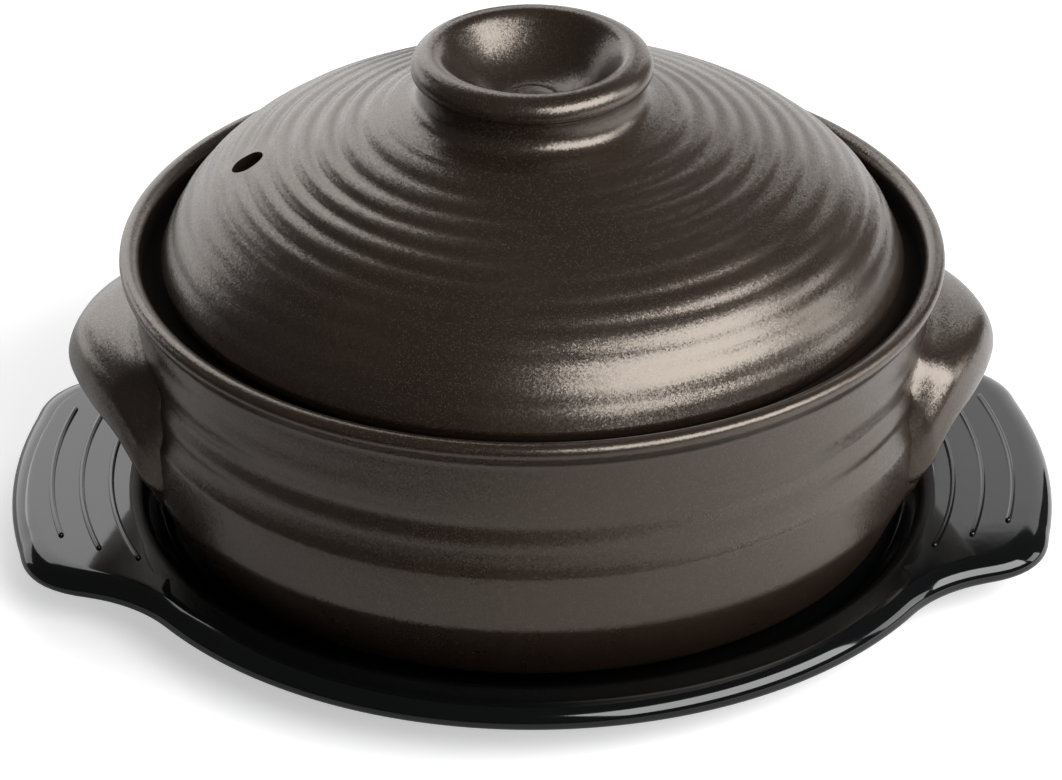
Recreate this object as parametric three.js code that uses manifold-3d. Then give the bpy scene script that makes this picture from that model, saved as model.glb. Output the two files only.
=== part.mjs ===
// Earthenware stove pot with a domed lid, standing on its moulded serving tray.
// Millimetres, +Z up. The origin is the middle of the tray's foot, on the table.
// +X runs along the tray through the two lugs, and the front of the pot faces -Y.

import * as THREE from 'three';
import { ParametricGeometry } from 'three/addons/geometries/ParametricGeometry.js';
import { mergeVertices } from 'three/addons/utils/BufferGeometryUtils.js';
import Module from 'manifold-3d';

const wasm = await Module();
wasm.setup();

// Fits and smoothness
const SEAT_GAP = 0.3;
const CUT_MARGIN = 5;
const MERGE_DISTANCE = 1e-4;
const TURN_STEPS = 48;
const CURVE_STEPS = 5;
const DOME_STEPS = 10;
const ROUND_STEPS = 2;

// Pot. The shares are of the height from its foot to the neck under the lip.
const POT_RIM_RADIUS = 90;
const POT_HEIGHT = 65.3;
const POT_LIP_DEPTH = 5.5;
const POT_LIP_ROLL = 1;
const POT_LIP_THICKNESS = 4.5;
const POT_LIP_WIDTH = 6.4;
const POT_NECK_INSET = 2.6;
const POT_WAIST_INSET = 3.5;
const POT_WAIST_SHARE = 0.734;
const POT_BELLY_INSET = 2.3;
const POT_BELLY_SHARE = 0.557;
const POT_CREASE_INSET = 2.6;
const POT_CREASE_SHARE = 0.329;
const POT_HEEL_INSET = 9;
const POT_HEEL_SHARE = 0.087;
const POT_FOOT_INSET = 20;
const POT_FOOT_RING_WIDTH = 12;
const POT_FOOT_RECESS = 1.5;
const POT_WALL = 7;
const POT_FLOOR = 8;
const GALLERY_DEPTH = 6;
const GALLERY_LEDGE_WIDTH = 7.1;
const GALLERY_LEDGE_THICKNESS = 4;

// Lugs. The shares are of the same height, and LUG_SHOULDER_SHARE is from top to lip.
const LUG_HALF_ANGLE = 25;
const LUG_REACH = 16.7;
const LUG_TAPER_EXPONENT = 2.5;
const LUG_SQUARE_EXPONENT = 3;
const LUG_TOP_SHARE = 0.853;
const LUG_EDGE_SHARE = 0.625;
const LUG_TIP_SHARE = 0.345;
const LUG_DROOP = 46;
const LUG_DROOP_EXPONENT = 3;
const LUG_SHOULDER_SHARE = 0.33;
const LUG_EDGE_THICKNESS = 4.4;
const LUG_UNDERCUT = 11;
const LUG_ROOT_DEPTH = 5;
const LUG_STEPS = 20;

// Lid
const LID_GALLERY_CLEARANCE = 2.4;
const LID_SEAT_WIDTH = 6.5;
const LID_WALL = 6;
const LID_BEAD_HEIGHT = 3.2;
const LID_BEAD_CHAMFER = 0.5;
const LID_DOME_RISE = 34.4;
const LID_SHOULDER_LENGTH = 23.4;
const LID_SHOULDER_TILT = 20.7;
const LID_CROWN_LENGTH = 24.8;
const LID_CROWN_SLOPE = 22.8;
const VENT_DIAMETER = 6.8;
const VENT_INSET = 19.7;

// Knob
const KNOB_RADIUS = 26;
const KNOB_HEIGHT = 13.3;
const KNOB_FLARE = 5;
const KNOB_FLARE_HEIGHT = 1;
const KNOB_NECK_INSET = 2.3;
const KNOB_LIP_WIDTH = 6.4;
const KNOB_LIP_HEIGHT = 5.5;
const KNOB_LIP_UNDERCUT = 60;
const KNOB_FLOOR = 3.3;

// Serving tray
const TRAY_WELL_CLEARANCE = 10;
const TRAY_WELL_SLOPE = 12;
const TRAY_RIM_WIDTH = 8;
const TRAY_TAB_LENGTH = 25.5;
const TRAY_TAB_WIDTH = 84;
const TRAY_TAB_BOW = 5;
const TRAY_TAB_CORNER_RADIUS = 13;
const TRAY_TAB_ROOT_ANGLE = 36;
const TRAY_TAB_ROOT_EASE = 12;
const TRAY_CREST_RISE = 8;
const TRAY_EDGE_DEPTH = 5;
const TRAY_EDGE_ROUND = 2;
const TRAY_WALL = 3;
const TRAY_FLOOR_THICKNESS = 4;
const TRAY_FOOT_INSET = 7;
const TRAY_FOOT_WIDTH = 8;
const TRAY_FOOT_HEIGHT = 2;

// Grip ribs on the tray's tabs
const RIB_COUNT = 3;
const RIB_WIDTH = 1.3;
const RIB_HEIGHT = 0.7;
const RIB_INNER_MARGIN = 3.3;
const RIB_OUTER_MARGIN = 9;
const RIB_INNER_HALF_ANGLE = 23.5;
const RIB_OUTER_HALF_ANGLE = 15;

// Levels and radii worked out from the sizes above
const trayFloorTop = TRAY_FOOT_HEIGHT + TRAY_FLOOR_THICKNESS;
const trayCrest = trayFloorTop + TRAY_CREST_RISE;
const potBase = trayFloorTop + SEAT_GAP;
const potTop = potBase + POT_HEIGHT;
const neckHeight = POT_HEIGHT - POT_LIP_DEPTH;
const potLevel = (share) => potBase + share * neckHeight;
const waistRadius = POT_RIM_RADIUS - POT_WAIST_INSET;
const heelRadius = POT_RIM_RADIUS - POT_HEEL_INSET;
const footRadius = POT_RIM_RADIUS - POT_FOOT_INSET;
const galleryRadius = POT_RIM_RADIUS - POT_LIP_WIDTH;
const ledgeTop = potTop - GALLERY_DEPTH;
const lidBase = ledgeTop + SEAT_GAP;
const beadTop = lidBase + LID_BEAD_HEIGHT;
const lidRadius = galleryRadius - LID_GALLERY_CLEARANCE;
const knobSeat = beadTop + LID_DOME_RISE;
const knobBase = knobSeat + SEAT_GAP;
const knobBaseRadius = KNOB_RADIUS + KNOB_FLARE;
const wellRimRadius = heelRadius + TRAY_WELL_CLEARANCE;
const wellFlatRadius = wellRimRadius - TRAY_WELL_SLOPE;

const radians = THREE.MathUtils.degToRad;
const point = (x, y) => new THREE.Vector2(x, y);

// Solids and booleans

function toSolid(geometry) {
  const bare = geometry.index ? geometry.toNonIndexed() : geometry.clone();
  bare.deleteAttribute('normal');
  bare.deleteAttribute('uv');
  const merged = mergeVertices(bare, MERGE_DISTANCE);
  const corners = merged.index.array;
  const triangles = [];
  for (let i = 0; i < corners.length; i += 3) {
    const [a, b, c] = corners.slice(i, i + 3);
    if (a !== b && b !== c && c !== a) triangles.push(a, b, c);
  }
  const mesh = new wasm.Mesh({
    numProp: 3,
    vertProperties: new Float32Array(merged.attributes.position.array),
    triVerts: new Uint32Array(triangles),
  });
  return new wasm.Manifold(mesh);
}

function toGeometry(solid) {
  const mesh = solid.getMesh();
  const geometry = new THREE.BufferGeometry();
  geometry.setAttribute('position', new THREE.BufferAttribute(new Float32Array(mesh.vertProperties), 3));
  geometry.setIndex(new THREE.BufferAttribute(new Uint32Array(mesh.triVerts), 1));
  geometry.computeVertexNormals();
  return geometry;
}

// A solid of revolution about Z. The profile runs upwards along the outside, from axis to axis.
function turned(profile) {
  const geometry = new THREE.LatheGeometry(profile, TURN_STEPS);
  geometry.rotateX(Math.PI / 2);
  return toSolid(geometry);
}

// A flat outline in XY raised between two levels, with its edges rounded by `round`.
function raised(shape, bottom, top, round = 0) {
  const geometry = new THREE.ExtrudeGeometry(shape, {
    depth: top - bottom - 2 * round,
    curveSegments: CURVE_STEPS + ROUND_STEPS,
    bevelEnabled: round > 0,
    bevelThickness: round,
    bevelSize: round,
    bevelOffset: -round,
    bevelSegments: ROUND_STEPS,
  });
  geometry.translate(0, 0, bottom + round);
  return toSolid(geometry);
}

// Points along a curve.
function along(curve, steps = CURVE_STEPS) {
  return curve.getPoints(steps);
}

// Serving tray

// The round dish with a tab on each side, drawn `inset` inside the tray's edge.
function trayOutline(inset) {
  const radius = wellRimRadius + TRAY_RIM_WIDTH - inset;
  const reach = wellRimRadius + TRAY_TAB_LENGTH - inset;
  const cornerX = reach - TRAY_TAB_BOW;
  const cornerY = TRAY_TAB_WIDTH / 2 - inset;
  const root = radians(TRAY_TAB_ROOT_ANGLE);
  const start = point(radius * Math.cos(root), radius * Math.sin(root));
  const ease = point(Math.sin(root), -Math.cos(root)).multiplyScalar(TRAY_TAB_ROOT_EASE).add(start);
  const side = point(cornerX, cornerY).sub(ease).normalize();
  const sideEnd = point(cornerX, cornerY).addScaledVector(side, -TRAY_TAB_CORNER_RADIUS);
  const endTop = cornerY - TRAY_TAB_CORNER_RADIUS;
  const endX = cornerX + (reach - cornerX) * (TRAY_TAB_CORNER_RADIUS / cornerY);
  const shape = new THREE.Shape();
  shape.moveTo(start.x, start.y);
  for (const sign of [1, -1]) {
    shape.absarc(0, 0, radius, sign > 0 ? root : root - Math.PI, (sign > 0 ? Math.PI : 0) - root);
    shape.quadraticCurveTo(-sign * ease.x, sign * ease.y, -sign * sideEnd.x, sign * sideEnd.y);
    shape.quadraticCurveTo(-sign * cornerX, sign * cornerY, -sign * endX, sign * endTop);
    shape.quadraticCurveTo(-sign * (2 * reach - endX), 0, -sign * endX, -sign * endTop);
    shape.quadraticCurveTo(-sign * cornerX, -sign * cornerY, -sign * sideEnd.x, -sign * sideEnd.y);
    shape.quadraticCurveTo(-sign * ease.x, -sign * ease.y, -sign * start.x, -sign * start.y);
  }
  return shape;
}

// The slope of the well, from its flat floor up to its rim, lowered by `drop`.
function wellSlope(drop) {
  const low = trayFloorTop - drop;
  const high = trayCrest - drop;
  const middle = (wellFlatRadius + wellRimRadius) / 2;
  return new THREE.CubicBezierCurve(
    point(wellFlatRadius, low),
    point(middle, low),
    point(middle, high),
    point(wellRimRadius, high),
  );
}

// The outline of a rib, where `share` runs from 0 for the inner rib to 1 for the outer one.
function ribOutline(share) {
  const inner = wellRimRadius + RIB_INNER_MARGIN;
  const outer = wellRimRadius + TRAY_TAB_LENGTH - RIB_OUTER_MARGIN;
  const radius = THREE.MathUtils.lerp(inner, outer, share);
  const half = radians(THREE.MathUtils.lerp(RIB_INNER_HALF_ANGLE, RIB_OUTER_HALF_ANGLE, share));
  const tip = point(radius * Math.cos(half), radius * Math.sin(half));
  const shape = new THREE.Shape();
  shape.absarc(0, 0, radius + RIB_WIDTH / 2, -half, half);
  shape.absarc(tip.x, tip.y, RIB_WIDTH / 2, half, half + Math.PI);
  shape.absarc(0, 0, radius - RIB_WIDTH / 2, half, -half, true);
  shape.absarc(tip.x, -tip.y, RIB_WIDTH / 2, Math.PI - half, 2 * Math.PI - half);
  return shape;
}

function servingTray() {
  const edgeBottom = trayCrest - TRAY_EDGE_DEPTH;
  const plate = raised(trayOutline(0), edgeBottom, trayCrest, TRAY_EDGE_ROUND);
  const hollow = raised(trayOutline(TRAY_WALL), edgeBottom - CUT_MARGIN, trayCrest - TRAY_WALL);
  const footOuter = wellFlatRadius - TRAY_FOOT_INSET;
  const footInner = footOuter - TRAY_FOOT_WIDTH;
  const dish = turned([
    point(0, TRAY_FOOT_HEIGHT),
    point(footInner, TRAY_FOOT_HEIGHT),
    point(footInner, 0),
    point(footOuter, 0),
    point(footOuter, TRAY_FOOT_HEIGHT),
    ...along(wellSlope(TRAY_FLOOR_THICKNESS)),
    point(wellRimRadius, trayCrest),
    point(0, trayCrest),
  ]);
  const well = turned([
    point(0, trayFloorTop),
    ...along(wellSlope(0)),
    point(wellRimRadius, trayCrest + CUT_MARGIN),
    point(0, trayCrest + CUT_MARGIN),
  ]);
  let tray = plate.subtract(hollow).add(dish).subtract(well);
  for (let index = 0; index < RIB_COUNT; index += 1) {
    const outline = ribOutline(index / (RIB_COUNT - 1));
    const rib = raised(outline, trayCrest - TRAY_WALL / 2, trayCrest + RIB_HEIGHT);
    tray = tray.add(rib).add(rib.rotate([0, 0, 180]));
  }
  return tray;
}

// Pot

// The outside of the pot from its foot to the neck under the lip, grown by `grow`.
function potSide(grow) {
  const spot = (inset, share) => point(POT_RIM_RADIUS - inset + grow, potLevel(share));
  const waves = new THREE.SplineCurve([
    spot(POT_CREASE_INSET, POT_CREASE_SHARE),
    spot(POT_BELLY_INSET, POT_BELLY_SHARE),
    spot(POT_WAIST_INSET, POT_WAIST_SHARE),
    spot(POT_NECK_INSET, 1),
  ]);
  return [
    spot(POT_FOOT_INSET, 0),
    spot(POT_HEEL_INSET, POT_HEEL_SHARE),
    ...along(waves, CURVE_STEPS + ROUND_STEPS),
  ];
}

function potBowl() {
  const footInner = footRadius - POT_FOOT_RING_WIDTH;
  const ledgeInner = galleryRadius - GALLERY_LEDGE_WIDTH;
  const ledgeUnder = ledgeTop - GALLERY_LEDGE_THICKNESS;
  const floorTop = potBase + POT_FLOOR;
  const wallInner = POT_RIM_RADIUS - POT_BELLY_INSET - POT_WALL;
  const lipMiddle = POT_RIM_RADIUS - POT_LIP_THICKNESS / 2;
  const lipHalf = POT_LIP_DEPTH / 2;
  const lipOutside = new THREE.CubicBezierCurve(
    point(POT_RIM_RADIUS, potTop - POT_LIP_DEPTH + POT_LIP_ROLL),
    point(POT_RIM_RADIUS, potTop - lipHalf),
    point(lipMiddle + POT_LIP_ROLL, potTop),
    point(lipMiddle, potTop),
  );
  const lipInside = new THREE.QuadraticBezierCurve(
    point(lipMiddle, potTop),
    point(POT_RIM_RADIUS - POT_LIP_THICKNESS, potTop),
    point(galleryRadius, potTop - lipHalf),
  );
  const inside = new THREE.CubicBezierCurve(
    point(wallInner, potLevel(POT_BELLY_SHARE)),
    point(wallInner, floorTop + POT_WALL),
    point(footRadius + POT_WALL, floorTop),
    point(footRadius - POT_WALL, floorTop),
  );
  return turned([
    point(0, potBase + POT_FOOT_RECESS),
    point(footInner, potBase + POT_FOOT_RECESS),
    point(footInner, potBase),
    ...potSide(0),
    ...along(lipOutside),
    ...along(lipInside),
    point(galleryRadius, ledgeTop),
    point(ledgeInner, ledgeTop),
    point(ledgeInner, ledgeUnder),
    point(wallInner, ledgeUnder - POT_WALL),
    ...along(inside),
    point(0, floorTop),
  ]);
}

// Lugs

// The section of a lug at `turn`, which runs from -1 at one end to 1 at the other.
// It is drawn as distance from the pot's axis and height. The hood leans out of the wall,
// droops towards both ends and runs back into the wall there, where it closes to a point.
function lugSection(turn) {
  const away = Math.abs(turn);
  const swell = (1 - away * away) ** LUG_TAPER_EXPONENT;
  const open = Math.sqrt(1 - away ** LUG_SQUARE_EXPONENT);
  const tip = potLevel(LUG_TIP_SHARE);
  const lip = Math.max(tip, potLevel(LUG_EDGE_SHARE) - LUG_DROOP * away ** LUG_DROOP_EXPONENT);
  const top = Math.max(lip, THREE.MathUtils.lerp(tip, potLevel(LUG_TOP_SHARE), open));
  const under = Math.max(tip, lip - LUG_UNDERCUT);
  const root = waistRadius - LUG_ROOT_DEPTH;
  const edge = waistRadius + LUG_REACH * swell;
  const middle = (waistRadius + edge) / 2;
  const half = LUG_EDGE_THICKNESS / 2;
  const bulge = half * swell;
  const shoulder = THREE.MathUtils.lerp(top, lip, LUG_SHOULDER_SHARE);
  const corners = [
    new THREE.Vector3(root, 0, top),
    new THREE.Vector3(waistRadius + bulge, 0, top),
    new THREE.Vector3(middle + bulge, 0, shoulder),
    new THREE.Vector3(edge - bulge / 2, 0, lip + half),
    new THREE.Vector3(edge - bulge / 2, 0, lip - half),
    new THREE.Vector3(middle, 0, (lip + under) / 2 - half),
    new THREE.Vector3(root, 0, under - half),
  ];
  const end = new THREE.Vector3(root, 0, tip);
  const closing = corners.map((corner) => corner.lerp(end, 1 - open));
  return new THREE.CatmullRomCurve3(closing, true);
}

// A lug on the side of the pot that faces `heading`, cut to the wall that it is luted to.
function lug(heading) {
  const surface = (u, v, target) => {
    const turn = 2 * u - 1;
    const angle = radians(turn * LUG_HALF_ANGLE + heading);
    const spot = lugSection(turn).getPoint(1 - v);
    target.set(spot.x * Math.cos(angle), spot.x * Math.sin(angle), spot.z);
  };
  const ear = toSolid(new ParametricGeometry(surface, LUG_STEPS, LUG_STEPS));
  const wall = turned([
    point(0, potBase),
    ...potSide(SEAT_GAP),
    point(0, potTop - POT_LIP_DEPTH),
  ]);
  return ear.subtract(wall);
}

// Lid

// The curve of the dome from its edge up to the flat under the knob.
function domeCurve(edge, top) {
  const tilt = radians(LID_SHOULDER_TILT);
  const slope = radians(LID_CROWN_SLOPE);
  const shoulder = point(-Math.sin(tilt), Math.cos(tilt)).multiplyScalar(LID_SHOULDER_LENGTH);
  const crown = point(Math.cos(slope), -Math.sin(slope)).multiplyScalar(LID_CROWN_LENGTH);
  return new THREE.CubicBezierCurve(edge, shoulder.add(edge), crown.add(top), top);
}

function lidDome() {
  const insideTop = knobSeat - LID_WALL;
  const outside = domeCurve(point(lidRadius, beadTop), point(knobBaseRadius, knobSeat));
  const inside = domeCurve(point(lidRadius - LID_SEAT_WIDTH, lidBase), point(knobBaseRadius, insideTop));
  const dome = turned([
    point(0, insideTop),
    ...along(inside, DOME_STEPS).reverse(),
    point(lidRadius - LID_BEAD_CHAMFER, lidBase),
    point(lidRadius, lidBase + LID_BEAD_CHAMFER),
    ...along(outside, DOME_STEPS),
    point(0, knobSeat),
  ]);
  const ventRadius = VENT_DIAMETER / 2;
  const vent = new THREE.CylinderGeometry(ventRadius, ventRadius, 2 * LID_DOME_RISE, TURN_STEPS / 2);
  vent.rotateX(Math.PI / 2);
  vent.translate(VENT_INSET - lidRadius, 0, knobSeat);
  return dome.subtract(toSolid(vent));
}

function lidKnob() {
  const top = knobBase + KNOB_HEIGHT;
  const neck = KNOB_RADIUS - KNOB_NECK_INSET;
  const opening = KNOB_RADIUS - KNOB_LIP_WIDTH;
  const lipHalfWidth = KNOB_LIP_WIDTH / 2;
  const lipHalfHeight = KNOB_LIP_HEIGHT / 2;
  const lipLevel = top - lipHalfHeight;
  const dishFloor = knobBase + KNOB_FLOOR;
  const flare = new THREE.QuadraticBezierCurve(
    point(knobBaseRadius - SEAT_GAP, knobBase),
    point(neck, knobBase + KNOB_FLARE_HEIGHT),
    point(neck, top - KNOB_LIP_HEIGHT),
  );
  const lip = new THREE.EllipseCurve(
    opening + lipHalfWidth,
    lipLevel,
    lipHalfWidth,
    lipHalfHeight,
    radians(-KNOB_LIP_UNDERCUT),
    Math.PI,
  );
  const dish = new THREE.CubicBezierCurve(
    point(opening, lipLevel),
    point(opening, (lipLevel + dishFloor) / 2),
    point(opening / 2, dishFloor),
    point(0, dishFloor),
  );
  return turned([
    point(0, knobBase),
    ...along(flare),
    ...along(lip, DOME_STEPS),
    ...along(dish).slice(1),
  ]);
}

// Finishes and the assembly

const glaze = { color: 0x2e2723, roughness: 0.42, metalness: 0.15 };
const melamine = { color: 0x101214, roughness: 0.18, metalness: 0 };

function addPiece(group, name, solid, finish) {
  const mesh = new THREE.Mesh(toGeometry(solid), new THREE.MeshStandardMaterial(finish));
  mesh.name = name;
  group.add(mesh);
}

const dolsot = new THREE.Group();
addPiece(dolsot, 'serving_tray', servingTray(), melamine);
addPiece(dolsot, 'pot_bowl', potBowl(), glaze);
addPiece(dolsot, 'lug_handle_right', lug(0), glaze);
addPiece(dolsot, 'lug_handle_left', lug(180), glaze);
addPiece(dolsot, 'lid_dome', lidDome(), glaze);
addPiece(dolsot, 'lid_knob', lidKnob(), glaze);

export default dolsot;
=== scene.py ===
"""Looks of a dark glazed earthenware pot, its domed lid and its moulded tray.

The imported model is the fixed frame. Lengths in the tables are millimetres, and the pieces are metres.
+Z is up, +X runs through the two lugs, and the front faces -Y.
"""

import math

import bmesh
import bpy
import numpy as np
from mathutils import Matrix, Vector


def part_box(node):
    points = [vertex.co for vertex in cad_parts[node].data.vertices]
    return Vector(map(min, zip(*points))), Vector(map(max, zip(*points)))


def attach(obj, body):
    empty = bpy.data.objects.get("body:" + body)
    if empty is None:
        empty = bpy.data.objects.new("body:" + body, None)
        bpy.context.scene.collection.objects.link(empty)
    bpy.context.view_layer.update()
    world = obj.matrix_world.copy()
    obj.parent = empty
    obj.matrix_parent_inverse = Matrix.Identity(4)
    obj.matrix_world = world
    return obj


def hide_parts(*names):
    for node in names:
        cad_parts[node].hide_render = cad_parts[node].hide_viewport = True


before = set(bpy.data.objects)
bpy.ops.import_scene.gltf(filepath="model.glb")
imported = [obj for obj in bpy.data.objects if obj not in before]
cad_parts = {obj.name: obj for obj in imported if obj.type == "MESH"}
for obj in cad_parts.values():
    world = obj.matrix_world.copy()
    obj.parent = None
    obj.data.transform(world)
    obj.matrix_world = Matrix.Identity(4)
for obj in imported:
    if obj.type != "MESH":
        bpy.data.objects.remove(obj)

bl_info = {
    "name": "Earthenware Pot and Tray",
    "version": (1, 0, 0),
    "blender": (4, 5, 0),
    "location": "View3D > Sidebar > Earthenware",
    "description": "Models the glazed pot, its lid and its moulded tray over the packed frame",
    "category": "Object",
}

MM = 0.001
MERGE = 1e-6
SEED_SIZE = 0.01
SMOOTH_ANGLE = math.radians(40)
TURN_STEPS = 240
KNOB_TURN_STEPS = 192
FRONT = -math.pi / 2
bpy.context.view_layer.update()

# Camera: width and focal length in pixels, sensor in millimetres, and the axis off the middle in pixels
PHOTO_WIDTH = 1062
FOCAL_PIXELS = 4491.17
SENSOR = 36.0
AXIS_PIXEL_OFFSET = 1.15

# Levels of the frame, in millimetres
POT_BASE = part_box("pot_bowl")[0].z / MM
POT_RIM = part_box("pot_bowl")[1].x / MM
LID_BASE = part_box("lid_dome")[0].z / MM
LID_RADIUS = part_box("lid_dome")[1].x / MM
KNOB_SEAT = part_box("lid_dome")[1].z / MM
KNOB_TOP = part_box("lid_knob")[1].z / MM

# Outlines of the turned pieces: distance from the axis, and height above the pot's foot
FOOT_MIDDLE = [(0.0, 1.5), (30.0, 1.5)]
FOOT_LINE = [(57.2, 1.5), (57.9, 1.3), (58.2, 0.6), (58.6, 0.1), (59.4, 0)]
HEEL_LINE = [(68.6, 0), (69.6, 0.2), (70.6, 0.6), (75.5, 2.4), (79.4, 4.1), (80.9, 5.2), (81.6, 6.3),
             (83.2, 9.9), (85.6, 15.2), (86.9, 18.3), (87.3, 19.5), (87.45, 20.4)]
WALL_LINE = [(87.45, 20.4), (87.5, 21.6), (87.6, 26.5), (87.65, 31.6), (87.6, 32.7), (87.35, 33.5),
             (87.05, 34.8), (86.8, 37.0), (86.7, 38.4), (86.72, 39.6), (86.6, 40.8), (86.35, 42.2),
             (86.15, 43.6), (86.15, 44.5), (86.35, 45.6), (86.8, 50.5), (87.15, 56.0), (87.3, 58.2)]
LIP_LINE = [(87.3, 58.2), (87.4, 59.0), (87.65, 59.8), (88.15, 60.6), (88.8, 61.3), (89.4, 62.0),
            (89.8, 62.7), (90.0, 63.4), (89.9, 64.1), (89.5, 64.75), (88.9, 65.15), (88.1, 65.3),
            (87.3, 65.2), (86.5, 64.85), (85.85, 64.25), (85.45, 63.4), (85.25, 62.2), (85.15, 60.4),
            (85.0, 58.6), (84.6, 57.7), (83.8, 57.2), (82.8, 57.4), (81.4, 58.3), (80.2, 59.05),
            (79.3, 59.3)]
LEDGE_LINE = [(77.6, 59.3), (76.9, 59.1), (76.5, 58.5), (76.5, 56.2), (76.7, 55.2), (77.6, 53.6),
              (79.8, 50.0), (80.5, 47.8), (80.7, 45.5)]
BOWL_LINE = [(80.7, 45.5), (80.7, 33.3), (80.5, 26.0), (79.4, 19.5), (76.6, 14.0), (71.8, 10.0),
             (66.0, 8.3), (60.0, 8.0), (40.0, 8.0), (0.0, 8.0)]

# Unglazed ledge, made near black to paint the shade in the gap under the lid: inner and outer radius, and
# lowest and highest level above the pot's foot
BARE_LEDGE_SHADE = (76.2, 85.4, 56.5, 62.8)

# Throwing marks on the wall: height, depth, half width, drift, lobes and phase. They are pressed into
# the outside, which lies within a depth of the rim's radius, between two levels above the foot.
MARKED_DEPTH = 6
MARKED_LEVELS = (21, 58.5)
WALL_MARKS = [(37.0, -0.44, 2.0, 0.9, 1, 0.3), (41.0, 0.30, 1.7, 0.8, 2, 1.1),
              (45.6, -0.40, 2.2, 1.1, 1, 2.2), (52.4, -0.42, 2.1, 1.2, 1, 2.9),
              (49.0, 0.24, 1.6, 0.8, 2, 0.6)]

# Lug: how far it is sunk into the wall, the height of its finger gap at the middle and its fall to the
# ends, the drop of its lip, and the share of its half length where it closes. Its sections crowd towards
# the two ends.
LUG_SINK = 4.5
LUG_GAP = 30.5
LUG_GAP_FALL = 6.5
LUG_LIP_DROP = 2.3
LUG_CLOSING_START = 0.9
LUG_CLOSING_LENGTH = 0.1
LUG_SECTIONS = 97
LUG_ROUNDS = 72
LUG_CROWDING = math.radians(85)
LUG_CROWDING_LIMIT = math.radians(85.2)

# Hood of a lug: for each turn from its middle, the corners from the wall to the lip, each with its
# distance from the axis and its height above the table
LUG_HALF_ANGLE = 23.2
LUG_REACH = 15.3
LUG_TURNS = (0.0, 6.0, 10.0, 13.4, 15.6, 17.2, 18.6, 20.0, 21.5, 23.2)
LUG_HOOD = [
    [(87.0, 55.5), (87.0, 55.3), (87.0, 55.0), (87.0, 54.7), (87.0, 54.3),
     (87.0, 53.5), (87.0, 52.0), (87.0, 49.6), (87.0, 46.4), (87.0, 36.0)],
    [(93.2, 54.6), (92.7, 54.4), (92.2, 54.0), (91.6, 53.4), (91.2, 52.6),
     (90.8, 51.3), (90.5, 49.2), (90.1, 46.7), (89.5, 43.3), (88.5, 33.5)],
    [(99.2, 52.2), (98.0, 52.0), (96.7, 51.5), (95.4, 50.8), (94.6, 49.9),
     (93.9, 48.4), (93.2, 46.2), (92.4, 43.6), (91.3, 40.2), (89.4, 31.0)],
    [(101.5, 48.9), (100.0, 48.7), (98.4, 48.2), (96.9, 47.5), (95.8, 46.5),
     (94.9, 44.9), (94.0, 42.8), (93.0, 40.1), (91.8, 36.6), (90.0, 28.5)],
    [(102.3, 44.4), (100.6, 44.1), (98.9, 43.5), (97.4, 42.8), (96.2, 41.8),
     (95.1, 40.2), (94.2, 38.3), (93.2, 35.8), (92.1, 32.4), (90.3, 25.8)],
]

# Edge of the lid: distance from the axis, and height above its seat
LID_EDGE_LINE = [(75.6, 0.0), (78.2, 0.0), (79.1, 0.2), (79.9, 0.8), (80.5, 1.7), (80.9, 2.7),
                 (81.05, 3.5)]

# Unglazed edge of the lid, made near black to paint the shade in the gap over the rim: from its radius, and
# from the height of its seat
BARE_LID_EDGE_SHADE = (-7, 1, -1, 2.2)

# Dome: where it starts at the lid's edge, where it meets the knob, the angle in degrees and the pull of
# its curve at the shoulder and at the crown, and the thickness of its wall at the edge and at the top
DOME_EDGE_INSET = 0.1
DOME_EDGE_RISE = 3.7
DOME_TOP_RADIUS = 31.0
DOME_SHOULDER = (20.7, 23.4)
DOME_CROWN = (22.8, 24.8)
LID_WALL_EDGE = 6.5
LID_WALL_TOP = 6
VENT_INSET = 19.7
VENT_POINTS = 48
VENT_BORE = 60

# Neck and dish of the knob: distance from the axis, and height above the seat or from the top. The lip
# between them is part of an ellipse, and the seat is sunk into the dome.
KNOB_NECK_LINE = [(32.6, -0.8), (31.6, -0.35), (30.2, 0.12), (28.6, 0.52), (27.2, 0.95), (26.1, 1.45),
                  (25.3, 2.05), (24.7, 2.8), (24.3, 3.7), (24.05, 4.8), (23.95, 5.9), (23.95, 7.2),
                  (24.15, 7.9), (24.6, 8.3), (25.2, 8.5), (25.65, 8.7)]
KNOB_DISH_LINE = [(21.8, 0.0), (20.9, -0.1), (20.1, -0.45), (19.3, -1.1), (17.9, -2.7), (16.2, -4.75),
                  (14.3, -6.8), (12.0, -8.7), (9.3, -10.2), (6.8, -10.95), (5.7, -11.05), (5.0, -11.0),
                  (4.3, -11.1), (3.4, -11.2), (0.0, -11.2)]
KNOB_SEAT_RADIUS = 30.0
KNOB_SINK = 2
KNOB_LIP_MIDDLE = 21.8
KNOB_LIP_WIDTH = 4.2
KNOB_LIP_HEIGHT = 3.75
KNOB_LIP_ANGLES = np.radians(np.linspace(-12, 88, 36))

# Tray: radii, levels and thickness, the tabs with the bow of their ends, their half width, the turn in
# degrees where they leave the dish, the ease there and the round of their corners, and the curves of the
# well. The ribs have a radius and a half angle, and the foot a distance from the axis and a height.
TRAY_RADIUS = 99.0
TRAY_WELL_RIM = 91.0
TRAY_CREST = 14.0
TRAY_EDGE_BOTTOM = 9.0
TRAY_FLOOR = 6.0
TAB_REACH = 116.5
TAB_BOW = 5
TAB_HALF_WIDTH = 42
TAB_ROOT = 36
TAB_EASE = 12
TAB_ROUND = 13
TRAY_POINTS = 360
TRAY_SKIN = 3.0
EDGE_UNDER = 1.2
WELL_CURVE = [(TRAY_WELL_RIM, TRAY_CREST), (85.0, TRAY_CREST), (85.0, TRAY_FLOOR), (79.0, TRAY_FLOOR)]
UNDER_CURVE = [(79.0, 2.0), (85.0, 2.0), (85.0, 10.0), (TRAY_WELL_RIM, 10.0)]
RIB_WIDTH = 1.3
RIB_SECTION = np.radians(np.linspace(-20, 200, 13))
RIB_STEPS = 48
RIB_TIP_STEPS = 6
RIB_ARCS = [(94.3, 23.5), (100.9, 19.25), (107.5, 15.0)]
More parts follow.
